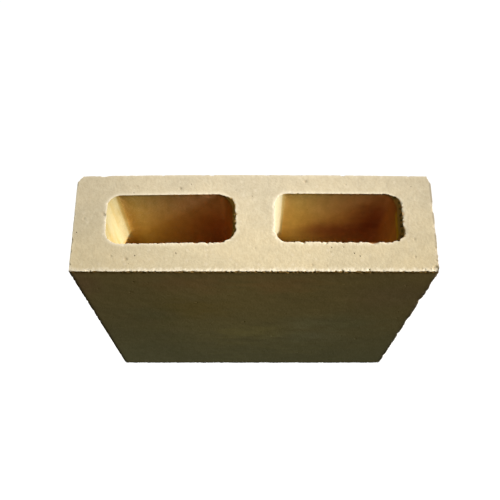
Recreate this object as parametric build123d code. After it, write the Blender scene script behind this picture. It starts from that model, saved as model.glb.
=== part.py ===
from build123d import *
import os

# Shaped fire brick: one block of fired clay with two rounded slots running right through it.
# Millimetres. The brick stands on end with its slots upright. X runs along its length,
# Y through its thickness with the front face at -Y, and Z up along the slots.
# The origin is the middle of the lower end.

# Block
length = 230.0
height = 230.0
thickness = 68.0

# Walls left round the two slots, which lie nearer to the back face
end_wall = 20.5
web = 27.0
front_wall = 20.0
back_wall = 14.5

# Rounding
slot_corner_radius = 9.0
corner_share = 0.48  # the most of a slot's side that one corner may take
arris_radius = 0.8
rim_radius = 1.0

# Slots, worked out from the walls
slot_length = (length - web - 2 * end_wall) / 2
slot_width = thickness - front_wall - back_wall
slot_x = (web + slot_length) / 2
slot_y = (front_wall - back_wall) / 2
slot_corner = min(slot_corner_radius, corner_share * slot_width, corner_share * slot_length)


def block():
    """The pressed block before its slots, with every outer edge softened."""
    stock = Box(length, thickness, height, align=(Align.CENTER, Align.CENTER, Align.MIN))
    return fillet(stock.edges(), arris_radius)


def slot(x):
    """The core that leaves one slot, standing on the lower end with its middle at x."""
    outline = Pos(x, slot_y, 0) * RectangleRounded(slot_length, slot_width, slot_corner)
    return extrude(outline, height)


def rims(brick):
    """The edges where the slots meet the upper and lower ends."""
    ends = brick.faces().filter_by(Axis.Z).sort_by(Axis.Z)
    return [edge for end in (ends[0], ends[-1]) for wire in end.inner_wires() for edge in wire.edges()]


def fire_brick():
    """The whole brick, with its slots cut and their rims rounded."""
    cored = block() - [slot(side * slot_x) for side in (-1, 1)]
    return fillet(rims(cored), rim_radius)


os.makedirs("parts", exist_ok=True)
export_step(fire_brick(), "parts/fire_brick.step")
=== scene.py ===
import math
from collections import namedtuple

import bpy
import numpy as np
from mathutils import Matrix, Vector, geometry, noise


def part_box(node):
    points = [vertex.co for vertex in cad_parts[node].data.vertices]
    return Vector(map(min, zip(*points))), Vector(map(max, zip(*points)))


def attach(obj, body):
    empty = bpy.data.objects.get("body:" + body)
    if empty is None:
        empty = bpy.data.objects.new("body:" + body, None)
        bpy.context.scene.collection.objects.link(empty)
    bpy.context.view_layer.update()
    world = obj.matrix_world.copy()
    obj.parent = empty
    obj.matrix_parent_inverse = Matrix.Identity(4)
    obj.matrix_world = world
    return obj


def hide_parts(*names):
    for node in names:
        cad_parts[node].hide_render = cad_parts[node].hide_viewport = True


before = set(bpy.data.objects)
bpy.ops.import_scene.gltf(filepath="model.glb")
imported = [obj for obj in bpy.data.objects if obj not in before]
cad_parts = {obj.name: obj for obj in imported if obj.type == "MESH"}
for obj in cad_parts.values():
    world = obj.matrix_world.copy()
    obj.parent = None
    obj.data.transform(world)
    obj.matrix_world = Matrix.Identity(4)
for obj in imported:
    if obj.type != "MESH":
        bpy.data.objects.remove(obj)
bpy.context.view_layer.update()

# Everything is in metres, so a size in millimetres is written as a number times MM.
MM = 0.001

# The brick's outer size comes from the frame, and its walls are those of the solid.
LOW, HIGH = (np.array(corner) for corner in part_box("fire_brick"))
LENGTH, THICKNESS, HEIGHT = HIGH - LOW
END_WALL = 20.5 * MM
WEB = 27 * MM
FRONT_WALL = 20 * MM
BACK_WALL = 14.5 * MM
SLOT_SIZE = np.array([(LENGTH - WEB - 2 * END_WALL) / 2, THICKNESS - FRONT_WALL - BACK_WALL])
SLOT_X = (WEB + SLOT_SIZE[0]) / 2
SLOT_Y = (FRONT_WALL - BACK_WALL) / 2

# The cores that left the slots sat a little off their marks, and were a little short at their right ends.
# A slot's corners are radii, anticlockwise from the front right one.
Slot = namedtuple("Slot", "middle angle size corners")


def cored(x, y, degrees, shorter, corners):
    """A slot whose core was meant to be centred at x and y, and was that much shorter at its right end."""
    cut = np.array([shorter * MM, 0])
    return Slot(np.array([x, y]) - cut / 2, math.radians(degrees), SLOT_SIZE - cut, np.array(corners) * MM)


LEFT_SLOT = cored(0.5 * MM - SLOT_X, SLOT_Y - 0.4 * MM, 0.8, 1.0, (10, 10, 8.5, 8.5))
RIGHT_SLOT = cored(SLOT_X, SLOT_Y + 0.4 * MM, -0.2, 2.5, (6.5, 8.5, 8, 8))
SLOTS = (LEFT_SLOT, RIGHT_SLOT)

# The upper rims are broken back steeply at the slots' right ends, by one width for each slot.
BROKEN_BACK = (1.5 * MM, 2.5 * MM)
BROKEN_STEEPNESS = 1.6
BROKEN_BEND = 1.15
BROKEN_REACH = 6 * MM
BROKEN_SIDE_GAP = 0.5 * MM
BROKEN_FADE = 3 * MM

# Grains fell out of the right slot's bevel in a row. A hole's place across and down is a share of the bevel.
HOLE_SPACING = 3.8 * MM
HOLE_JITTER = 0.15
HOLE_ACROSS = 0.75
HOLE_DOWN = 0.42
SHALLOWEST_HOLE = 1.1 * MM
HOLE_RADII = (1.1, 1.6)

# The mesh has coarse cells on the flats, which halve at each of these distances from an edge.
# Their middles are shifted by up to a share of their size, and places within TOUCH count as one.
COARSE = 4 * MM
HALVE_AT = (8 * MM, 4 * MM, 1.7 * MM)
FINE = COARSE / 2 ** len(HALVE_AT)
CELL_JITTER = 0.2
TOUCH = 0.01 * MM

# Where the worn surface bends by more than this between two triangles, it is evened out.
TIGHT_FOLD = math.radians(120)
UNFOLDING_PASSES = 10
SHARP_BEND = math.radians(55)

random = np.random.default_rng(7)

# Pits in the upper end, in millimetres: x, y and radius.
TOP_PITS = (
    (-95.9, 5.6, 2.2), (-108.5, 2.2, 1.0), (-89.6, -23.6, 1.1), (-80.1, -25.6, 1.5), (-75.7, 25.4, 0.8),
    (-47.8, 23.8, 1.3), (33.3, 29.1, 1.4), (35.9, -29.6, 1.0), (45.0, -30.2, 0.8), (47.5, -20.8, 0.8),
    (59.3, 26.9, 0.8), (101.0, -12.0, 1.1), (100.4, -24.0, 1.0), (0.5, -18.0, 0.8), (-12.0, 22.5, 0.7),
    (112.4, -31.2, 1.6), (109.2, -32.0, 1.1), (113.4, -26.5, 1.1), (113.6, -17.5, 0.9), (104.0, -31.9, 1.0),
)
# Other faces have one small pit for each such area. Pits are shallow, and the larger ones get painted shade.
PIT_AREA = 1500 * MM ** 2
PIT_MARGIN = 4 * MM
PIT_STEEPNESS = 0.4
FULLY_SHADED_PIT = 1.6 * MM

# Rounding of the edges, in millimetres. Crumbs add to it: most, size and the noise's offset for each sort.
EDGE_RADIUS = 0.35
EDGE_WANDER = 0.1
LEAST_RADIUS = 0.25
CRUMBS = ((1.2, 3.6, 0.0), (2.0, 1.9, 5.0))
CRUMB_START = 0.05
RIM_SHARE = 1.3
MOST_ROUNDING = 1.5 * MM

# How crumbled the left and back edges are, against 1 elsewhere, and how much more the front ends are.
CLEANER = 0.4
FRONT_CRUMBS = 0.6

# Where an edge is worn more than elsewhere, in millimetres: place, added radius, added crumbs and reach.
WORN_PLACES = (
    ((-115, 34, 230), 1.0, 0, 7), ((-115, 34, 0), 1.5, 0, 12), ((115, 34, 0), 2.0, 0, 9),
    ((115, -34, 230), 0.5, 1.5, 8), ((115, -34, 0), 1.2, 0, 6), ((-115, -34, 0), 1.0, 0, 6),
    ((-13, 3, 230), 0, -0.5, 18), ((92, 3, 230), 0, -0.4, 18), ((45, -34, 230), 0, 0.7, 60),
    ((115, 5, 230), -0.1, -0.7, 32), ((95, 4, 0), 0.8, 0.5, 15), ((-95, 4, 0), 1.0, 0.5, 12),
)

# Flakes lost from the arrises, in millimetres: place, the way out of the clay there, width and depth.
CHIPS = (
    ((-115, 34, 230), (-0.82, 0.57, 0.10), 24, 3.1), ((115, 34, 230), (0.95, 0.25, 0.15), 24, 2.3),
    ((115, -34, 230), (1, -0.6, 0.8), 5.5, 1.7), ((112, -31.5, 230), (0.3, -0.3, 1), 5, 0.9),
    ((115, -34, 211), (1, -0.45, 0), 26, 0.9), ((115, -34, 173), (1, -0.5, 0), 15, 1.5),
    ((115, -34, 128), (1, -0.45, 0), 22, 1.0), ((115, -34, 93), (1, -0.5, 0), 12, 1.2),
    ((115, -34, 25), (1, -0.5, 0), 12, 0.9), ((115, 10, 230), (1, 0, 0.5), 9, 1.2),
    ((115, -3, 230), (1, 0, 0.8), 6, 1.1), ((115, -20, 230), (1, 0, 0.6), 7, 1.2),
    ((115, -28, 230), (1, 0, 0.8), 4.5, 1.1), ((-44.5, -34, 230), (0, -0.8, 1), 3.5, 1.1),
    ((54, -34, 230), (0, -0.7, 1), 4, 1.2), ((72, -34, 230), (0, -1, 0.8), 5, 0.7),
    ((-98, 34, 230), (0, 1, 0.6), 7, 0.9), ((-115, -34, 150), (-1, -1, 0), 9, 0.7),
    ((-115, 34, 120), (-1, 1, 0), 14, 1.5), ((115, 34, 70), (1, 1, 0), 11, 1.2),
    ((30, 34, 0), (0, 1, -1), 10, 1.0), ((-60, -34, 0), (0, -1, -1), 9, 0.8),
)
SCOOP_ROUGHNESS = 0.2

# Small flakes lost all along the edges: their spacing, and their widths and depths in millimetres.
CHIP_SPACING = 24 * MM
CHIP_WIDTHS = (2, 6)
CHIP_DEPTHS = (0.3, 0.9)

# The front arris of the upper end, by its axis and the sides it lies on, has lost many more flakes.
CRUMBLED_ARRIS = (0, (-1, 1))
MORE_CHIPS = 5

# How far the back face falls back at its left and right ends.
CROWN = 1.1 * MM

# Cloudy tints, in millimetres: place across and up, reach across and up, and tint. On the front they stain
# the clay; on the slots' back walls they are patches of painted shade.
FRONT_STAINS = (
    ((-3, 165), (100, 170), (1.12, 1.12, 1.05)), ((-84, 140), (44, 130), (0.85, 0.88, 0.88)),
    ((-40, 208), (36, 22), (1.08, 0.96, 0.97)), ((18, 208), (32, 20), (1.09, 0.97, 0.98)),
    ((-111, 208), (15, 26), (0.98, 0.88, 0.98)), ((92, 182), (34, 34), (0.97, 0.94, 1.06)),
    ((-72, 147), (24, 20), (0.93, 0.98, 1.04)), ((-43, 156), (36, 26), (0.98, 0.94, 0.80)),
    ((2, 99), (32, 20), (1.16, 1.16, 1.06)), ((38, 119), (26, 16), (1.12, 1.12, 1.18)),
    ((45, 88), (34, 22), (1.08, 1.13, 1.28)), ((60, 125), (50, 24), (0.95, 1.02, 1.10)),
)
BACK_WALL_SHADE_PATCHES = (
    ((-90, 190), (14, 60), (0.84, 0.76, 0.58)), ((84, 193), (21, 36), (0.53, 0.36, 0.32)),
    ((58, 171), (34, 20), (0.67, 0.48, 0.57)), ((32, 195), (12, 40), (0.92, 0.87, 0.74)),
    ((-28, 188), (18, 24), (0.88, 0.78, 0.66)),
)
STAIN_DEPTH = 14 * MM


# The slots' outlines

def perimeter(slot):
    """The length of a slot's outline."""
    return 2 * slot.size.sum() - (2 - math.pi / 2) * slot.corners.sum()


def slot_outline(slot, walked):
    """Points of a slot's outline, at distances walked anticlockwise from where its front side starts."""
    points = np.zeros((len(walked), 2))
    start = np.array([slot.corners[-1], 0]) - slot.size / 2
    passed = 0.0
    for quarter, corner in enumerate(slot.corners):
        heading = quarter * math.pi / 2
        along = np.array([math.cos(heading), math.sin(heading)])
        inward = np.array([-along[1], along[0]])
        on_run = walked >= passed - TOUCH
        points[on_run] = start + np.outer(walked[on_run] - passed, along)
        run = slot.size[quarter % 2] - slot.corners[quarter - 1] - corner
        passed += run
        centre = start + run * along + corner * inward
        on_arc = walked > passed
        turn = (walked[on_arc] - passed)[:, None] / corner
        points[on_arc] = centre + corner * (np.sin(turn) * along - np.cos(turn) * inward)
        passed += corner * math.pi / 2
        start = centre + corner * along
    return turned(points, slot.angle) + slot.middle


def turned(points, angle):
    """Flat points turned anticlockwise about the origin."""
    cosine, sine = math.cos(angle), math.sin(angle)
    return points @ np.array([[cosine, sine], [-sine, cosine]])


def own_place(slot, points):
    """Flat places as seen from a slot's middle, along and across it."""
    return turned(points[:, :2] - slot.middle, -slot.angle)


def past_corner(slot, own):
    """How far places lie past the start of the slot's nearest corner, both ways, and that corner's radius."""
    right, back = own[:, 0] > 0, own[:, 1] > 0
    corner = slot.corners[np.where(back, np.where(right, 1, 2), np.where(right, 0, 3))]
    return np.abs(own) - slot.size / 2 + corner[:, None], corner


def slot_distance(points):
    """Distance from the nearer slot's outline, positive in the clay, and the flat way out of the slot."""
    distance = np.full(len(points), np.inf)
    away = np.zeros((len(points), 2))
    for slot in SLOTS:
        own = own_place(slot, points)
        past, corner = past_corner(slot, own)
        out = np.maximum(past, 0)
        reach = np.hypot(*out.T)
        gap = reach + np.minimum(past.max(axis=1), 0) - corner
        direction = turned(np.sign(own) * out / np.maximum(reach, TOUCH)[:, None], slot.angle)
        nearer = gap < distance
        distance = np.where(nearer, gap, distance)
        away = np.where(nearer[:, None], direction, away)
    return distance, away


# The brick's surface with sharp edges, as flat sheets of triangles

def spaced(low, high, step):
    """Evenly spaced places from low to high, both included, about a step apart."""
    return np.linspace(low, high, max(1, round((high - low) / step)) + 1)


def jittered(middles, size):
    """The middles of cells, shifted a little so that no grid shows."""
    return middles + random.uniform(-CELL_JITTER, CELL_JITTER, middles.shape) * size


def graded_cells(low, high, edge_distance):
    """Middles of cells over a rectangle, which get smaller towards the edges of the clay."""
    counts = np.maximum(1, np.round((high - low) / COARSE))
    size = (high - low) / counts
    columns, rows = (low[axis] + (np.arange(counts[axis]) + 0.5) * size[axis] for axis in (0, 1))
    cells = np.stack(np.meshgrid(columns, rows), axis=-1).reshape(-1, 2)
    kept = []
    for limit in HALVE_AT:
        near = edge_distance(cells) < limit
        kept.append(jittered(cells[~near], size))
        size = size / 2
        quarters = [(i, j) for i in (-0.5, 0.5) for j in (-0.5, 0.5)]
        cells = np.concatenate([cells[near] + size * quarter for quarter in quarters])
    kept.append(jittered(cells, size))
    return np.concatenate(kept)


def rectangle_loop(across, up):
    """The outline of a rectangle, with points at the given places across and up."""
    bottom = [(x, up[0]) for x in across[:-1]]
    right = [(across[-1], y) for y in up[:-1]]
    top = [(x, up[-1]) for x in across[:0:-1]]
    left = [(across[0], y) for y in up[:0:-1]]
    return np.array(bottom + right + top + left)


def triangles_between(loops, inner):
    """Triangles over a sheet, from its closed outlines and the points between them."""
    edges, start = [], 0
    for loop in loops:
        count = len(loop)
        edges += [(start + i, start + (i + 1) % count) for i in range(count)]
        start += count
    given = np.concatenate([*loops, inner])
    vectors = [Vector(point) for point in given.tolist()]
    inside_outlines, closeness = 1, 1e-7
    made = geometry.delaunay_2d_cdt(vectors, edges, [], inside_outlines, closeness)
    triangles, origins = made[2:4]
    return given[[origin[0] for origin in origins]], np.array(triangles)


def outer_loop(low, high):
    return rectangle_loop(*(spaced(low[i], high[i], FINE) for i in (0, 1)))


def scattered_pits():
    """The named pits, and small ones strewn over the other outer faces, as rows of x, y, z and radius."""
    pits = [np.array([(x * MM, y * MM, HIGH[2], radius * MM) for x, y, radius in TOP_PITS])]
    top_axis, smallest, range_up = 2, 0.5, 0.7
    for axis, axes in ((0, [1, 2]), (1, [0, 2]), (2, [0, 1])):
        low, high = LOW[axes] + PIT_MARGIN, HIGH[axes] - PIT_MARGIN
        count = round((high - low).prod() / PIT_AREA)
        for value in (LOW[axis],) if axis == top_axis else (LOW[axis], HIGH[axis]):
            strewn = np.zeros((count, 4))
            strewn[:, axes] = random.uniform(low, high, (count, 2))
            strewn[:, axis] = value
            strewn[:, 3] = (smallest + range_up * random.random(count) ** 3) * MM
            pits.append(strewn)
    return np.concatenate(pits)


def pit_distance(pits, axes, axis, value):
    """A function for how far points of one outer face lie from a pit, stretched to keep fine cells near."""
    own = pits[np.abs(pits[:, axis] - value) < TOUCH]
    stretch = 2.5

    def distance(points):
        apart = np.linalg.norm(points[:, None] - own[None, :, axes], axis=2)
        return (stretch * (apart - own[:, 3])).min(axis=1)

    return distance


def face_sheet(axes, from_pits):
    """One outer face, over two of the brick's axes."""
    low, high = LOW[axes], HIGH[axes]

    def edge_distance(points):
        return np.minimum(np.minimum(points - low, high - points).min(axis=1), from_pits(points))

    return triangles_between([outer_loop(low, high)], graded_cells(low, high, edge_distance))


def end_sheet(from_pits):
    """One end of the brick, with its two slots left out."""
    low, high = LOW[:2], HIGH[:2]
    rims = [slot_outline(slot, spaced(0, perimeter(slot), FINE)[:-1]) for slot in SLOTS]

    def edge_distance(points):
        to_arris = np.minimum(points - low, high - points).min(axis=1)
        to_rim = np.abs(slot_distance(points)[0])
        return np.minimum(np.minimum(to_arris, to_rim), from_pits(points))

    inner = graded_cells(low, high, edge_distance)
    inner = inner[slot_distance(inner)[0] > FINE / 2]
    points, triangles = triangles_between([outer_loop(low, high), *rims], inner)
    in_clay = slot_distance(points[triangles].mean(axis=1))[0] > 0
    return points, triangles[in_clay]


def slot_sheet(slot):
    """The wall of one slot, unrolled: distance along its outline by height."""
    low, high = np.array([0, LOW[2]]), np.array([perimeter(slot), HIGH[2]])

    def edge_distance(points):
        past, _ = past_corner(slot, own_place(slot, slot_outline(slot, points[:, 0])))
        to_end = np.minimum(points[:, 1] - low[1], high[1] - points[:, 1])
        # The corners bend, so their cells are halved at least once.
        return np.where(past.min(axis=1) > 0, np.minimum(to_end, HALVE_AT[1]), to_end)

    fine_to = sum(HALVE_AT)
    seam = np.concatenate([
        spaced(low[1], low[1] + fine_to, FINE)[:-1],
        spaced(low[1] + fine_to, high[1] - fine_to, COARSE)[:-1],
        spaced(high[1] - fine_to, high[1], FINE),
    ])
    outline = rectangle_loop(spaced(0, high[0], FINE), seam)
    return triangles_between([outline], graded_cells(low, high, edge_distance))


def placed(sheet, axes, axis, value):
    """A flat sheet set in the brick, over two axes at one value of the third."""
    points = np.zeros((len(sheet[0]), 3))
    points[:, axes] = sheet[0]
    points[:, axis] = value
    return points, sheet[1]


def joined(sheets):
    """One closed surface from sheets that share the points along their edges."""
    points = np.concatenate([sheet[0] for sheet in sheets])
    starts = np.cumsum([0] + [len(sheet[0]) for sheet in sheets])
    triangles = np.concatenate([sheet[1] + start for sheet, start in zip(sheets, starts)])
    # The grid that finds shared points is set off the round sizes, so that none of them lies on its lines.
    off_round = 0.137
    grid_cells = np.floor(points / TOUCH + off_round)
    _, first, place = np.unique(grid_cells, axis=0, return_index=True, return_inverse=True)
    return points[first], place.ravel()[triangles]


def sharp_brick(pits):
    """The whole surface with sharp edges."""
    sheets = []
    for axis, axes in ((0, [1, 2]), (1, [0, 2])):
        for value in (LOW[axis], HIGH[axis]):
            sheet = face_sheet(axes, pit_distance(pits, axes, axis, value))
            sheets.append(placed(sheet, axes, axis, value))
    for value in (LOW[2], HIGH[2]):
        sheet = end_sheet(pit_distance(pits, [0, 1], 2, value))
        sheets.append(placed(sheet, [0, 1], 2, value))
    for slot in SLOTS:
        unrolled, triangles = slot_sheet(slot)
        sheets.append((np.column_stack([slot_outline(slot, unrolled[:, 0]), unrolled[:, 1]]), triangles))
    return joined(sheets)


# Wear

def noise_at(points, size, offset=0.0):
    """Smooth noise from about -1 to 1, with features of the given size. Each offset gives another noise."""
    return np.array([noise.noise(Vector(p)) for p in (points / size + offset).tolist()])


def end_depth(points):
    """How far points lie inside the nearer end of the brick."""
    return np.minimum(points[:, 2] - LOW[2], HIGH[2] - points[:, 2])


def on_slot_wall(points):
    """Which points of the sharp surface lie on a slot's wall, short of its ends."""
    return (np.abs(slot_distance(points)[0]) < TOUCH) & (end_depth(points) > TOUCH)


def edge_distance_of(points):
    """How far each point of the sharp surface lies from its nearest edge."""
    gap, _ = slot_distance(points)
    depth = end_depth(points)
    wall = on_slot_wall(points)
    to_faces = np.sort(np.concatenate([points - LOW, HIGH - points], axis=1), axis=1)
    to_arris = np.where(wall, np.inf, to_faces[:, 1])
    to_rim = np.where(wall, depth, np.where(depth < TOUCH, np.abs(gap), np.inf))
    return np.minimum(to_arris, to_rim)


def round_arrises(points, radius):
    """Where each outer point goes when its arris is rounded to the radius there."""
    core = np.clip(points, LOW + radius[:, None], HIGH - radius[:, None])
    out = points - core
    reach = np.linalg.norm(out, axis=1, keepdims=True)
    rounded = core + out / np.maximum(reach, TOUCH) * radius[:, None]
    moved = (reach[:, 0] > 0) & ~on_slot_wall(points)
    return np.where(moved[:, None], rounded, points) - points


def broken_back(points):
    """How much further the upper rims are broken back at the slots' right ends."""
    extra = np.zeros(len(points))
    for slot, width in zip(SLOTS, BROKEN_BACK):
        own = own_place(slot, points)
        mine = (np.abs(own) < slot.size / 2 + END_WALL / 3).all(axis=1) & (points[:, 2] > HEIGHT / 2)
        past_start = own[:, 0] - slot.size[0] / 2 + BROKEN_REACH
        before_sides = slot.size[1] / 2 - np.abs(own[:, 1]) - BROKEN_SIDE_GAP
        share = np.clip(np.minimum(past_start, before_sides) / BROKEN_FADE, 0, 1)
        extra = np.where(mine, width * share, extra)
    return extra


def near_rim(points, radius, steepness):
    """Which points lie on a slot's rounded rim."""
    depth = end_depth(points)
    in_reach = (np.abs(slot_distance(points)[0]) < radius) & (depth < radius * steepness)
    return in_reach & ((depth < TOUCH) | on_slot_wall(points))


def round_rims(points, radius, steepness, bend):
    """Where each point near a slot's rim goes when the rim is rounded to the radius there.

    A bend of 2 makes a round rim, and one near 1 a flat bevel."""
    gap, away = slot_distance(points)
    gap = np.maximum(gap, 0)
    depth = end_depth(points) / steepness
    near = near_rim(points, radius, steepness)
    across, down = gap - radius, depth - radius
    reach = (np.abs(across) ** bend + np.abs(down) ** bend) ** (1 / bend)
    scale = radius / np.maximum(reach, TOUCH)
    into_clay = radius + across * scale - gap
    into_end = (radius + down * scale - depth) * steepness
    upper = points[:, 2] > HEIGHT / 2
    move = np.column_stack([away * into_clay[:, None], np.where(upper, -into_end, into_end)])
    return np.where(near[:, None], move, 0.0)


def facing(points, triangles):
    """Twice each triangle's area, along its normal."""
    a, b, c = (points[triangles[:, i]] for i in range(3))
    return np.cross(b - a, c - a)


def turned_outwards(points, triangles):
    """The triangles with their corners in the order that makes them face out of the clay."""
    middles = points[triangles].mean(axis=1)
    gap, away = slot_distance(middles)
    wall = (gap < FINE / 4) & (end_depth(middles) > TOUCH)
    from_middle = (middles - (LOW + HIGH) / 2) / (HIGH - LOW)
    almost_half = 0.5 - 1e-6
    into_slot = np.column_stack([-away, np.zeros(len(away))])
    out_of_face = np.sign(from_middle) * (np.abs(from_middle) > almost_half)
    out = np.where(wall[:, None], into_slot, out_of_face)
    wrong = np.einsum("ij,ij->i", facing(points, triangles), out) < 0
    triangles = triangles.copy()
    triangles[wrong] = triangles[wrong][:, ::-1]
    return triangles


def point_normals(points, triangles):
    """Area-weighted normals of the points, pointing out of the clay."""
    face = facing(points, triangles)
    normals = np.column_stack([
        sum(np.bincount(triangles[:, i], face[:, axis], len(points)) for i in range(3)) for axis in range(3)
    ])
    least_area = 1e-15
    return normals / np.maximum(np.linalg.norm(normals, axis=1, keepdims=True), least_area)


def edges_between(triangles):
    """The edges of a closed surface, by their two points, and the two triangles beside each."""
    edges = np.sort(np.concatenate([triangles[:, [i, (i + 1) % 3]] for i in range(3)]), axis=1)
    order = np.lexsort(edges.T)
    beside = np.tile(np.arange(len(triangles)), 3)
    return edges[order][::2], beside[order].reshape(-1, 2)


def unfolded(points, triangles):
    """The points, with those at tight folds drawn to the middle of their neighbours."""
    edges, beside = edges_between(triangles)
    here, there = np.concatenate([edges, edges[:, ::-1]]).T
    neighbours = np.bincount(here)
    points = points.copy()
    for _ in range(UNFOLDING_PASSES):
        face = facing(points, triangles)
        face /= np.linalg.norm(face, axis=1, keepdims=True)
        bend = np.einsum("ij,ij->i", *(face[beside[:, i]] for i in (0, 1)))
        folded = np.unique(edges[bend < math.cos(TIGHT_FOLD)])
        middles = np.column_stack([np.bincount(here, points[there, axis]) for axis in range(3)])
        points[folded] = middles[folded] / neighbours[folded, None]
    return points


def edge_wear(points):
    """How far the edges are rounded off at each point, and how crumbled they are there."""
    radius = EDGE_RADIUS + EDGE_WANDER * noise_at(points, 9 * MM, 11.0)
    cleaner = (points[:, 0] < LOW[0] + 2 * MM) | (points[:, 1] > SLOT_Y + SLOT_SIZE[1] / 3)
    crumbling = np.where(cleaner, CLEANER, 1.0)
    by_front_end = (points[:, 1] < LOW[1] + FRONT_WALL / 6) & (end_depth(points) < FRONT_WALL / 3)
    crumbling[by_front_end] += FRONT_CRUMBS
    for place, added, crumbs, reach in WORN_PLACES:
        nearness = np.exp(-(np.linalg.norm(points - np.array(place) * MM, axis=1) / (reach * MM)) ** 2)
        radius += added * nearness
        crumbling += crumbs * nearness
    crumbs = sum(
        most * np.maximum(0, noise_at(points, size * MM, offset) - CRUMB_START)
        for most, size, offset in CRUMBS
    )
    return np.maximum(radius + crumbling * crumbs, LEAST_RADIUS) * MM, crumbling


def past_rounding(points, radius, broken=0.0):
    """How far each point lies from its edge, beyond the rounding and what is broken back."""
    return np.maximum(0, edge_distance_of(points) - np.minimum(radius, MOST_ROUNDING) - broken)


def edge_mark(points, inside, radius, broken):
    """How much of its edge's colour each point shows: pale chafing with a painted edge highlight on the ends,
    and painted shade on the sides and slot walls. The front face shows it only beside the ends, as a painted
    shadow below the end's arris.
    """
    from_end = end_depth(points)
    on_end = from_end < TOUCH
    on_front = points[:, 1] < LOW[1] + TOUCH
    from_arris = np.minimum(points[:, 0] - LOW[0], HIGH[0] - points[:, 0])
    below_end = on_front & (from_end < from_arris)
    fade = np.select([inside, below_end, on_end], [1.6 * MM, 2.6 * MM, 1.2 * MM], 0.9 * MM)
    # Less pale chafing and painted edge highlight near the left and right ends and the back, away from the
    # front.
    less_chafed_and_highlit = (np.abs(points[:, 0]) > HIGH[0] - END_WALL / 3) | (points[:, 1] > HIGH[1] - BACK_WALL / 3)
    less_chafed_and_highlit &= points[:, 1] > LOW[1] + FRONT_WALL / 6
    at_rim = on_end & (slot_distance(points)[0] < END_WALL / 3) & (broken == 0)
    share = np.select([below_end, on_front, less_chafed_and_highlit, at_rim], [1.0, 0.0, 0.2, 0.8], 1.0)
    return share * np.exp(-(past_rounding(points, radius, broken) / fade) ** 2)


def outline_shade_mark(points):
    """How much painted dark outline each point gets near the front face's upright and lower arrises, most of
    all on that face; along the lower arris it paints contact shadow.
    """
    width, depth = 2.0 * MM, 0.9 * MM
    from_front = (points[:, 1] - LOW[1]) / depth
    to_arrises = np.column_stack([points[:, 0] - LOW[0], HIGH[0] - points[:, 0], points[:, 2] - LOW[2]])
    return np.exp(-(to_arrises.min(axis=1) / width) ** 2 - from_front ** 2)


def arris_flakes():
    """Where small flakes are lost along the arrises, and the way out of the clay there."""
    flakes = []
    for axis, others in ((0, (1, 2)), (1, (0, 2)), (2, (0, 1))):
        count = round((HIGH - LOW)[axis] / CHIP_SPACING)
        for signs in ((-1, -1), (-1, 1), (1, -1), (1, 1)):
            more = MORE_CHIPS if (axis, signs) == CRUMBLED_ARRIS else 1
            for walked in random.uniform(LOW[axis], HIGH[axis], count * more):
                place, out = np.zeros(3), np.zeros(3)
                place[axis] = walked
                for other, sign in zip(others, signs):
                    place[other] = HIGH[other] if sign > 0 else LOW[other]
                    out[other] = sign * random.uniform(0.6, 1.0)
                flakes.append((place, out))
    return flakes


def rim_flakes():
    """The same along the front halves of the rims."""
    flakes = []
    for slot in SLOTS:
        for z, up in ((LOW[2], -1), (HIGH[2], 1)):
            walked = random.uniform(0, perimeter(slot), round(perimeter(slot) / CHIP_SPACING))
            rim = slot_outline(slot, walked)
            for flat in rim[rim[:, 1] < SLOT_Y]:
                inward = (slot.middle - flat) / np.linalg.norm(slot.middle - flat)
                flakes.append((np.append(flat, z), np.array([*inward, up])))
    return flakes


def all_chips():
    """The named chips and the small ones: place, way out, width and depth."""
    chips = [(np.array(place) * MM, np.array(out), width, depth) for place, out, width, depth in CHIPS]
    for place, out in arris_flakes() + rim_flakes():
        chips.append((place, out, random.uniform(*CHIP_WIDTHS), random.uniform(*CHIP_DEPTHS)))
    return [(place, out, width * MM, depth * MM) for place, out, width, depth in chips]


def rim_holes():
    """Holes in a row along the bevel at the right end of the right slot, as rows of x, y, z and radius."""
    slot = RIGHT_SLOT
    end_starts = slot.size[0] - slot.corners[-1] - slot.corners[0]
    end_length = slot.size[1] + (math.pi / 2 - 1) * (slot.corners[0] + slot.corners[1])
    skipped = 0.12 * end_length
    walked = spaced(end_starts + skipped, end_starts + end_length, HOLE_SPACING)
    walked += random.uniform(-HOLE_JITTER, HOLE_JITTER, len(walked)) * HOLE_SPACING
    rim = slot_outline(slot, walked)
    heading = slot_outline(slot, walked + FINE) - rim
    away = np.column_stack([heading[:, 1], -heading[:, 0]]) / np.linalg.norm(heading, axis=1, keepdims=True)
    broken = broken_back(np.column_stack([rim, np.full(len(rim), HIGH[2])]))
    places = rim + HOLE_ACROSS * broken[:, None] * away
    depths = np.maximum(HOLE_DOWN * BROKEN_STEEPNESS * broken, SHALLOWEST_HOLE)
    return np.column_stack([places, HIGH[2] - depths, random.uniform(*HOLE_RADII, len(rim)) * MM])


def scooped(points, place, out, width, depth):
    """The points with a shallow scoop taken out of an edge, where a flake has come away."""
    out = out / np.linalg.norm(out)
    radius = (width ** 2 / 4 + depth ** 2) / (2 * depth)
    centre = place + out * (radius - depth)
    offset = points - centre
    reach = np.linalg.norm(offset, axis=1)
    near = np.nonzero(reach < radius + SCOOP_ROUGHNESS * depth)[0]
    floor = radius + SCOOP_ROUGHNESS * depth * noise_at(points[near], 2 * MM)
    inside = reach[near] < floor
    moved = near[inside]
    points[moved] = centre + offset[moved] / reach[moved, None] * floor[inside, None]
    return points


def pit_depths(points, pits, steepness):
    """How deep each point lies in a pit, and how much painted shade it gets, up to 1 in the larger pits."""
    depth, pit_shade = np.zeros(len(points)), np.zeros(len(points))
    for *place, radius in pits:
        apart = np.linalg.norm(points - place, axis=1) / radius
        near = np.maximum(0, 1 - apart ** 2)
        depth = np.maximum(depth, steepness * radius * near ** 1.5)
        pit_shade = np.maximum(pit_shade, near * min(1, radius / FULLY_SHADED_PIT))
    return depth, pit_shade


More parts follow.
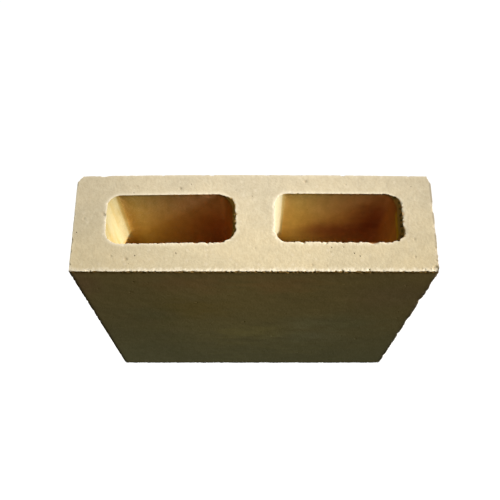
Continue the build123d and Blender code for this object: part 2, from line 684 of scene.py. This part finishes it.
def surface_texture(points, past_edge, inside, crumbling):
    """How far the surface lies below the smooth one: grit by the edges, and swells, most in the slots."""
    at_edge = np.exp(-(past_edge / np.where(inside, 2.2 * MM, 0.9 * MM)) ** 2)
    grit = 0.10 * crumbling * (0.4 + noise_at(points, 1.8 * MM, 3.0)) * at_edge
    swell = np.where(inside, 0.3, 0.1) * (0.5 + 0.5 * noise_at(points, 30 * MM, 9.0))
    return (np.maximum(grit, 0) + swell) * MM


def fall_back(points):
    """How far the back wall's points fall back, most at the back face's left and right ends."""
    in_back_wall = np.clip((points[:, 1] - (HIGH[1] - BACK_WALL)) / BACK_WALL, 0, 1)
    return CROWN * in_back_wall * (points[:, 0] / HIGH[0]) ** 2


def from_left_end(points):
    """How far along its slot each point lies, from the slot's left end."""
    left, right = (own_place(slot, points)[:, 0] + slot.size[0] / 2 for slot in SLOTS)
    return np.where(points[:, 0] < 0, left, right)


def worn_brick():
    """The brick's surface with crumbled edges, chips and pits, and marks for its material at each point."""
    pits = scattered_pits()
    sharp, triangles = sharp_brick(pits)
    triangles = turned_outwards(sharp, triangles)
    inside = on_slot_wall(sharp)
    radius, crumbling = edge_wear(sharp)

    # Where the rims are broken back, their rounding turns into a steep flat bevel.
    broken = broken_back(sharp)
    share = np.clip(broken / MM, 0, 1)
    steepness = 1 + (BROKEN_STEEPNESS - 1) * share
    bend = 2 + (BROKEN_BEND - 2) * share
    rim_radius = RIM_SHARE * radius + broken
    bevel = np.clip(2 * share - 1, 0, 1) * near_rim(sharp, 0.9 * rim_radius, steepness)
    points = sharp + round_arrises(sharp, radius) + round_rims(sharp, rim_radius, steepness, bend)
    normals = point_normals(points, triangles)

    for chip in all_chips():
        points = scooped(points, *chip)
    hole_depth, hole_shade = pit_depths(points, rim_holes(), 1.0)
    pit_depth, pit_shade = pit_depths(sharp, pits, PIT_STEEPNESS)
    texture = surface_texture(points, past_rounding(sharp, radius), inside, crumbling)
    points = points - normals * (pit_depth + hole_depth + texture)[:, None]
    points[:, 1] -= fall_back(points)
    # A chip beside an arris pushes its wall a hair past the next face, which is taken back here.
    points = np.clip(unfolded(points, triangles), LOW, HIGH)

    marks = {
        "wear_and_edge_shade": edge_mark(sharp, inside, radius, broken), "inside": inside, "side": end_depth(sharp) > TOUCH,
        "pit_shade": pit_shade, "from_left": from_left_end(sharp), "bevel": bevel, "hole_shade": np.sqrt(hole_shade),
        "outline": outline_shade_mark(sharp),
    }
    return points, triangles, marks


def make_brick():
    """The brick as one piece, with its marks as attributes of the mesh."""
    points, triangles, marks = worn_brick()
    mesh = bpy.data.meshes.new("fired_clay")
    mesh.from_pydata(points.tolist(), [], triangles.tolist())
    mesh.shade_smooth()
    mesh.set_sharp_from_angle(angle=SHARP_BEND)
    for name, values in marks.items():
        mesh.attributes.new(name, "FLOAT", "POINT").data.foreach_set("value", values.astype(np.float32))
    piece = bpy.data.objects.new("fired_clay", mesh)
    bpy.context.collection.objects.link(piece)
    return piece


# Materials

# Colours of the fired clay: the outside, the slots from their left ends to their right ones, and what is worn
# The slots' colours paint their light and shade: pale yellow and cream where the key light falls on the left
# ends, and orange, red and brown as painted shade elsewhere.
BUFF = (0.785, 0.67, 0.43)
GREYER_BUFF = (0.765, 0.665, 0.46)
SIDE_BUFF = (0.77, 0.66, 0.44)
# The front face's colours are darker than the other sides', in part as painted shade.
LOW_FRONT = (0.56, 0.515, 0.32)
HIGH_FRONT = (0.695, 0.51, 0.26)
YELLOW = (0.62, 0.47, 0.17)
PALE_YELLOW = (0.665, 0.565, 0.28)
CREAM = (0.71, 0.64, 0.41)
ORANGE = (0.93, 0.73, 0.295)
DEEP_ORANGE = (0.93, 0.68, 0.205)
RED = (0.88, 0.385, 0.16)
DEEP_RED = (0.76, 0.28, 0.10)
BROWN = (0.78, 0.37, 0.06)
DARK_BROWN = (0.62, 0.22, 0.05)
LEFT_LIP_HIGHLIGHT = (0.84, 0.42, 0.16)
RIGHT_LIP_HIGHLIGHT = (0.84, 0.52, 0.04)
LEFT_BEVEL_SHADE = (0.66, 0.41, 0.13)
RIGHT_BEVEL_SHADE = (0.62, 0.38, 0.12)
SHADE_IN_HOLES = (0.22, 0.15, 0.05)
# Pale chafed clay on the ends' edges and rims, which also paints an edge highlight.
CHAFED_HIGHLIT = (0.92, 0.83, 0.63)
GROG = (0.90, 0.80, 0.62)

# Tints, which multiply a colour
STREAK = (0.95, 0.95, 0.94)
CLOUD = (0.91, 0.92, 0.94)
MOTTLE = (0.955, 0.945, 0.93)
GRAIN = (0.90, 0.87, 0.82)
SPECK = (0.26, 0.20, 0.16)
TURNING_SHADE = (0.82, 0.66, 0.38)
SLOT_MOTTLE = (0.90, 0.88, 0.83)
SLOT_CORNER_SHADE = (0.88, 0.77, 0.66)
SIDE_EDGE_SHADE = (0.78, 0.73, 0.62)
FRONT_EDGE_SHADE = (0.36, 0.27, 0.10)
SLOT_RIM_SHADE = (0.50, 0.46, 0.28)
RIGHT_ARRIS_SHADE = (0.70, 0.68, 0.68)
SHADE_IN_PITS = (0.50, 0.44, 0.36)
OUTLINE_SHADE = (0.22, 0.20, 0.22)


def add_node(tree, kind, inputs=None, **settings):
    """Adds a shader node, sets its properties, and fills its inputs with values or other nodes' outputs."""
    made = tree.nodes.new("ShaderNode" + kind)
    for name, value in settings.items():
        setattr(made, name, value)
    for name, value in (inputs or {}).items():
        if isinstance(value, bpy.types.NodeSocket):
            tree.links.new(value, made.inputs[name])
        else:
            made.inputs[name].default_value = value
    return made


def stretched(tree, where, x, y, z):
    """The coordinates with features that many times as long along each axis."""
    scale = (1 / x, 1 / y, 1 / z)
    return add_node(tree, "VectorMath", {0: where, 1: scale}, operation="MULTIPLY").outputs[0]


def noise_texture(tree, where, size, detail=2.0, roughness=0.5):
    """Noise from 0 to 1 with features of the given size."""
    inputs = {"Vector": where, "Scale": 1 / size, "Detail": detail, "Roughness": roughness}
    return add_node(tree, "TexNoise", inputs).outputs["Fac"]


def dots(tree, where, size):
    """Scattered dots: the distance from the nearest dot, in sizes, and a random colour for each dot."""
    made = add_node(tree, "TexVoronoi", {"Vector": where, "Scale": 1 / size})
    return made.outputs["Distance"], made.outputs["Color"]


def spread(tree, value, low, high, start=0.0, end=1.0):
    """The value's range from low to high, spread smoothly from start to end."""
    inputs = {"Value": value, "From Min": low, "From Max": high, "To Min": start, "To Max": end}
    return add_node(tree, "MapRange", inputs, interpolation_type="SMOOTHSTEP").outputs["Result"]


def maths(tree, operation, a, b):
    return add_node(tree, "Math", {0: a, 1: b}, operation=operation).outputs[0]


def times(tree, a, b):
    return maths(tree, "MULTIPLY", a, b)


def mixed(tree, factor, a, b, blend="MIX"):
    """One colour laid over another."""
    colours = [colour if isinstance(colour, bpy.types.NodeSocket) else (*colour, 1.0) for colour in (a, b)]
    inputs = {0: factor, 6: colours[0], 7: colours[1]}
    return add_node(tree, "Mix", inputs, data_type="RGBA", blend_type=blend).outputs[2]


def tinted(tree, colour, factor, tint):
    """The colour multiplied by a tint, by a factor."""
    return mixed(tree, factor, colour, tint, "MULTIPLY")


def attribute(tree, name):
    return add_node(tree, "Attribute", attribute_name=name).outputs["Fac"]


def along(tree, where, axis, low, high):
    """How far along an axis a place lies between two others, from 0 to 1."""
    place = add_node(tree, "SeparateXYZ", {0: where}).outputs[axis]
    return spread(tree, place, low, high)


def by_slot(tree, where, left, right):
    """One colour round the left slot, and another round the right one."""
    return mixed(tree, along(tree, where, "X", -WEB / 2, WEB / 2), left, right)


def stained_and_shaded(tree, colour, where, y, patches, raggedness):
    """The colour with the cloudy tints of an upright wall at y: staining on the front face, and patches of
    painted shade on the slots' back walls.
    """
    ragged = noise_texture(tree, stretched(tree, where, 2.0, 1.0, 1.0), 9 * MM, detail=4.0)
    ragged = spread(tree, ragged, 0.0, 1.0, 0.5 - raggedness / 2, 0.5 + raggedness / 2)
    outermost, full = 1.7, 0.6
    for (x, z), (across, up), tint in patches:
        middle = (x * MM, y, z * MM)
        offset = add_node(tree, "VectorMath", {0: where, 1: middle}, operation="SUBTRACT").outputs[0]
        shares = stretched(tree, offset, across * MM, STAIN_DEPTH, up * MM)
        distance = add_node(tree, "VectorMath", {0: shares}, operation="LENGTH").outputs["Value"]
        nearness = spread(tree, maths(tree, "ADD", distance, ragged), outermost, full)
        colour = tinted(tree, colour, nearness, tint)
    return colour


def front_colour(tree, where):
    """The front face: browner higher up, with cloudy staining, faintly streaked along its length, and darker
    than the other sides, in part as painted shade.
    """
    colour = mixed(tree, along(tree, where, "Z", LOW[2], HIGH[2]), LOW_FRONT, HIGH_FRONT)
    colour = stained_and_shaded(tree, colour, where, LOW[1], FRONT_STAINS, 1.2)
    streaks = noise_texture(tree, stretched(tree, where, 9.0, 1.0, 1.0), 2.5 * MM)
    return tinted(tree, colour, spread(tree, streaks, 0.55, 0.75), STREAK)


def outer_colour(tree, where, side, to_front):
    """Buff fireclay with slow clouds of tone, a little greyer to the back."""
    ends = mixed(tree, along(tree, where, "Y", LOW[1], HIGH[1]), BUFF, GREYER_BUFF)
    sides = mixed(tree, to_front, SIDE_BUFF, front_colour(tree, where))
    colour = mixed(tree, side, ends, sides)
    clouds = noise_texture(tree, stretched(tree, where, 1.6, 1.0, 1.0), 24 * MM, detail=3.0)
    colour = tinted(tree, colour, spread(tree, clouds, 0.3, 0.7), CLOUD)
    mottles = noise_texture(tree, where, 4.5 * MM)
    return tinted(tree, colour, spread(tree, mottles, 0.35, 0.65), MOTTLE)


def dragged_wall(tree, where, from_left, backward):
    """A slot's left end, the lit copy of its colours: pale, streaked upright where the core dragged, and
    darker in painted shade just before the back wall, where the wall turns from the light.
    """
    drag = noise_texture(tree, stretched(tree, where, 1.0, 1.0, 8.0), 5 * MM, detail=3.0)
    drag = maths(tree, "ADD", drag, spread(tree, backward, 0.2, 0.7, -0.12, 0.12))
    yellow = mixed(tree, spread(tree, drag, 0.35, 0.62), YELLOW, PALE_YELLOW)
    turning_shade = times(tree, spread(tree, from_left, 4.2 * MM, 5.6 * MM), spread(tree, backward, 0.5, 0.8))
    return tinted(tree, by_slot(tree, where, yellow, CREAM), turning_shade, TURNING_SHADE)


def back_wall(tree, where, from_left):
    """A slot's back wall, in painted shade: orange at its left beside the lit end, redder to the right and
    deeper down, and with patches of darker painted shade.
    """
    deep = along(tree, where, "Z", HIGH[2] - 5 * MM, HIGH[2] - 55 * MM)
    at_left = mixed(tree, deep, ORANGE, DEEP_ORANGE)
    at_right = mixed(tree, deep, RED, DEEP_RED)
    colour = mixed(tree, spread(tree, from_left, 0, SLOT_SIZE[0]), at_left, at_right)
    return stained_and_shaded(tree, colour, where, SLOT_Y + SLOT_SIZE[1] / 2, BACK_WALL_SHADE_PATCHES, 0.4)


def right_wall(tree, where):
    """A slot's right end, in painted shade: brown, darker to the back, with a brighter band below the rim, a
    painted highlight where the rim's crest catches the key light.
    """
    to_back = along(tree, where, "Y", SLOT_Y - SLOT_SIZE[1] / 3, SLOT_Y + SLOT_SIZE[1] / 2)
    below_rim = along(tree, where, "Z", HIGH[2] - 12 * MM, HIGH[2] - 9 * MM)
    before_corner = along(tree, where, "Y", SLOT_Y + 10 * MM, SLOT_Y + 4 * MM)
    lip_highlight = by_slot(tree, where, LEFT_LIP_HIGHLIGHT, RIGHT_LIP_HIGHLIGHT)
    return mixed(tree, times(tree, below_rim, before_corner), mixed(tree, to_back, BROWN, DARK_BROWN), lip_highlight)


def slot_colour(tree, where, in_painted_shade, from_left):
    """A slot's walls, with painted light and shade: pale at the left end where the key light falls, and
    elsewhere in painted shade from orange to dark brown.
    """
    backward = along(tree, where, "Y", SLOT_Y - SLOT_SIZE[1] / 2, SLOT_Y + SLOT_SIZE[1] / 2)
    right_end = spread(tree, from_left, SLOT_SIZE[0] - 8 * MM, SLOT_SIZE[0] - 4 * MM)
    colour = mixed(tree, right_end, back_wall(tree, where, from_left), right_wall(tree, where))
    mottles = noise_texture(tree, stretched(tree, where, 1.0, 1.0, 2.5), 5 * MM, detail=3.0)
    colour = tinted(tree, colour, spread(tree, mottles, 0.3, 0.7), SLOT_MOTTLE)
    # Painted shade in the back corner beside the left end.
    corner_shade = times(tree, spread(tree, from_left, 18 * MM, 7 * MM), backward)
    colour = tinted(tree, colour, corner_shade, SLOT_CORNER_SHADE)
    return mixed(tree, in_painted_shade, dragged_wall(tree, where, from_left, backward), colour)


def grained(tree, colour, grain, plain_front):
    """The colour with fine grain, which is weaker on the front face."""
    share = spread(tree, plain_front, 0.0, 1.0, 0.5, 0.2)
    return tinted(tree, colour, times(tree, spread(tree, grain, 0.35, 0.65), share), GRAIN)


def grogged(tree, colour, where, inside):
    """The colour with pale grains of grog, fewer in the slots."""
    distance, chance = dots(tree, where, 3.2 * MM)
    grog = times(tree, spread(tree, distance, 0.42, 0.25), spread(tree, chance, 0.68, 0.8))
    return mixed(tree, times(tree, grog, spread(tree, inside, 0.0, 1.0, 0.22, 0.05)), colour, GROG)


def iron_specks(tree, where):
    """Where a few small specks of iron lie in the clay."""
    distance, chance = dots(tree, where, 7 * MM)
    return times(tree, spread(tree, distance, 0.09, 0.04), spread(tree, chance, 0.5, 0.55))


def edged(tree, colour, side, inside, in_painted_shade, to_front):
    """The colour with its edges: pale with chafing and a painted edge highlight on the ends, and painted
    shade on the sides and on the slot walls that are in painted shade.
    """
    wear_and_edge_shade = attribute(tree, "wear_and_edge_shade")
    chafed_and_highlit = mixed(tree, times(tree, wear_and_edge_shade, 0.9), colour, CHAFED_HIGHLIT)
    shaded_side = tinted(tree, colour, wear_and_edge_shade, mixed(tree, to_front, SIDE_EDGE_SHADE, FRONT_EDGE_SHADE))
    shaded_wall = tinted(tree, colour, times(tree, wear_and_edge_shade, in_painted_shade), SLOT_RIM_SHADE)
    return mixed(tree, side, chafed_and_highlit, mixed(tree, inside, shaded_side, shaded_wall))


def broken_rims(tree, colour, where):
    """The colour with the broken bevels at the slots' right ends brown, as painted shade where they turn from
    the key light, and the holes in them dark, as painted shade.
    """
    brown = by_slot(tree, where, LEFT_BEVEL_SHADE, RIGHT_BEVEL_SHADE)
    colour = mixed(tree, attribute(tree, "bevel"), colour, brown)
    return mixed(tree, attribute(tree, "hole_shade"), colour, SHADE_IN_HOLES)


def shaded_right_arris(tree, colour, where):
    """The colour with painted shade on the upper end's right arris, where it turns to the light."""
    outward = along(tree, where, "X", HIGH[0] - 1.8 * MM, HIGH[0] - 0.6 * MM)
    upward = along(tree, where, "Z", HIGH[2] - 2.0 * MM, HIGH[2] - 1.0 * MM)
    return tinted(tree, colour, times(tree, outward, upward), RIGHT_ARRIS_SHADE)


def clay_relief(tree, where, grain, specks, smoother):
    """The height of the clay's grain, swells and pitted specks, less where it is smoother."""
    swells = noise_texture(tree, where, 7 * MM, detail=1.0)
    relief = maths(tree, "ADD", times(tree, grain, 0.30 * MM), times(tree, swells, 0.35 * MM))
    relief = maths(tree, "SUBTRACT", relief, times(tree, specks, 0.5 * MM))
    return times(tree, relief, maths(tree, "SUBTRACT", 1.0, times(tree, smoother, 0.55)))


def clay_material():
    """Fireclay: its fired colours, grog grains, a few iron specks and worn edges, with painted light and
    shade: in the slots, as highlights and shade along the edges, in pits and holes, and on the right arris.
    """
    material = bpy.data.materials.new("fireclay")
    material.use_nodes = True
    tree = material.node_tree
    tree.nodes.clear()
    where = add_node(tree, "TexCoord").outputs["Object"]
    side, inside, from_left = (attribute(tree, name) for name in ("side", "inside", "from_left"))
    outer_side = times(tree, side, maths(tree, "SUBTRACT", 1.0, inside))
    to_front = along(tree, where, "Y", LOW[1] + 12 * MM, LOW[1])
    # A slot's wall is in painted shade past the lit part of its left end, and below the depth where the key
    # light stops reaching.
    deep = along(tree, where, "Z", HIGH[2] - 60 * MM, HIGH[2] - 68 * MM)
    in_painted_shade = maths(tree, "MAXIMUM", spread(tree, from_left, 6.2 * MM, 7.0 * MM), deep)
    grain = noise_texture(tree, where, 1.6 * MM, detail=3.0, roughness=0.6)
    specks = iron_specks(tree, where)

    outer = outer_colour(tree, where, side, to_front)
    colour = mixed(tree, inside, outer, slot_colour(tree, where, in_painted_shade, from_left))
    colour = grained(tree, colour, grain, times(tree, to_front, outer_side))
    colour = grogged(tree, colour, where, inside)
    speck_share = spread(tree, inside, 0.0, 1.0, 0.4, 0.05)
    colour = tinted(tree, colour, times(tree, specks, speck_share), SPECK)
    colour = edged(tree, colour, side, inside, in_painted_shade, to_front)
    colour = shaded_right_arris(tree, broken_rims(tree, colour, where), where)
    # Painted shade in the pits.
    colour = tinted(tree, colour, times(tree, attribute(tree, "pit_shade"), 0.45), SHADE_IN_PITS)
    # A painted dark outline on the front face's arrises.
    colour = tinted(tree, colour, attribute(tree, "outline"), OUTLINE_SHADE)

    relief = clay_relief(tree, where, grain, specks, outer_side)
    bump = add_node(tree, "Bump", {"Height": relief, "Distance": 1.0, "Strength": 1.0}).outputs[0]
    finish = {"Roughness": 0.92, "Specular IOR Level": 0.2, "Diffuse Roughness": 0.6}
    shader = add_node(tree, "BsdfPrincipled", {"Base Color": colour, "Normal": bump, **finish})
    add_node(tree, "OutputMaterial", {"Surface": shader.outputs[0]})
    return material


# Stage: floor, lights and camera

def make_floor():
    """A pale floor, so wide that its edges don't show, which throws no light on the brick."""
    reach = 30.0
    corners = [(-reach, -reach, 0), (reach, -reach, 0), (reach, reach, 0), (-reach, reach, 0)]
    mesh = bpy.data.meshes.new("floor")
    mesh.from_pydata(corners, [], [(0, 1, 2, 3)])
    floor = bpy.data.objects.new("floor", mesh)
    bpy.context.collection.objects.link(floor)
    material = bpy.data.materials.new("floor")
    material.use_nodes = True
    material.node_tree.nodes["Principled BSDF"].inputs["Base Color"].default_value = (0.9, 0.9, 0.9, 1)
    mesh.materials.append(material)
    floor.visible_diffuse = False
    floor.visible_glossy = False
    return floor


def collection_of(name, item):
    made = bpy.data.collections.new(name)
    made.objects.link(item)
    return made


def towards(azimuth, elevation):
    """The direction at an azimuth from +X towards +Y and an elevation, in degrees."""
    a, e = math.radians(azimuth), math.radians(elevation)
    return Vector((math.cos(a) * math.cos(e), math.sin(a) * math.cos(e), math.sin(e)))


def add_light(kind, name, direction, lit, place=(0, 0, 0), **settings):
    """A light that shines from a direction, on the pieces of one collection only."""
    data = bpy.data.lights.new(name, kind)
    for key, value in settings.items():
        setattr(data, key, value)
    light = bpy.data.objects.new(name, data)
    light.location = place
    light.rotation_euler = direction.to_track_quat("Z", "Y").to_euler()
    light.light_linking.receiver_collection = lit
    light.visible_camera = False
    bpy.context.collection.objects.link(light)
    return light


def make_lights(brick, floor):
    """A key in three parts along the brick, a warm sky, a low fill from behind, and the floor's lights."""
    on_brick, on_floor = collection_of("lit_brick", brick), collection_of("lit_floor", floor)
    white, warm, yellowish = (0.965, 0.96, 1.0), (1.0, 0.97, 0.9), (1.0, 0.98, 0.50)
    to_key = towards(0.4, 40)
    add_light("SUN", "key", to_key, on_brick, energy=2.7, color=white, angle=math.radians(0.5))
    add_light("SUN", "soft_key", towards(-5, 40), on_brick, energy=0.9, color=white, angle=math.radians(7))
    # The third part of the key is a spot, which fades away from the middle of the upper end.
    distance, reach, irradiance = 5.0, 100 * MM, 2.25
    aim = Vector((34 * MM, 0, HEIGHT))
    add_light("SPOT", "key_middle", to_key, on_brick, aim + to_key * distance,
              energy=irradiance * 4 * math.pi * distance ** 2, color=white, shadow_soft_size=0.02,
              spot_size=2 * math.atan(reach / distance), spot_blend=1.0)
    to_sky = towards(-90, 62)
    add_light("AREA", "sky", to_sky, on_brick, to_sky * 3.0, shape="RECTANGLE", size=1.6, size_y=1.9,
              energy=7.3, color=yellowish)
    # The fill lies wholly below the brick's upper end, so none of it falls into the slots.
    to_fill = towards(150, 0)
    add_light("AREA", "back_fill", to_fill, on_brick, to_fill * 1.2 + Vector((0, 0, HEIGHT / 2)),
              shape="RECTANGLE", size=1.4, size_y=0.85 * HEIGHT, energy=11.0, color=warm)

    down = towards(0, 90)
    floor_light = add_light("SUN", "floor_light", down, on_floor, energy=3.4)
    floor_light.light_linking.blocker_collection = on_floor
    add_light("SUN", "contact_light", down, on_floor, energy=0.3, angle=math.radians(150))


def make_camera():
    """The photograph's viewpoint: above and in front of the brick, looking steeply down.

    Its angles, place and lens were fitted to the six outer corners that the photograph shows."""
    tilt, yaw, roll = math.radians(67.167), math.radians(0.295), math.radians(0.299)
    place = (-3.6 * MM, -197.0 * MM, 651.6 * MM)
    forward = Vector((math.sin(yaw) * math.cos(tilt), math.cos(yaw) * math.cos(tilt), -math.sin(tilt)))
    right = Vector((math.cos(yaw), -math.sin(yaw), 0))
    up = right.cross(forward)
    turned_right = math.cos(roll) * right + math.sin(roll) * up
    turned_up = math.cos(roll) * up - math.sin(roll) * right
    data = bpy.data.cameras.new("camera")
    data.sensor_width = 36
    data.lens = 52.65
    camera = bpy.data.objects.new("camera", data)
    turn = Matrix((turned_right, turned_up, -forward)).transposed()
    camera.matrix_world = Matrix.Translation(place) @ turn.to_4x4()
    bpy.context.collection.objects.link(camera)
    bpy.context.scene.camera = camera


def make_world():
    """A pale backdrop that lights nothing."""
    world = bpy.data.worlds.new("backdrop")
    world.use_nodes = True
    world.node_tree.nodes["Background"].inputs["Color"].default_value = (1, 1, 1, 1)
    world.cycles_visibility.diffuse = False
    world.cycles_visibility.glossy = False
    bpy.context.scene.world = world


brick = make_brick()
brick.data.materials.append(clay_material())
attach(brick, "root")
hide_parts("fire_brick")
make_lights(brick, make_floor())
make_world()
make_camera()
bpy.context.scene.view_settings.view_transform = "Standard"
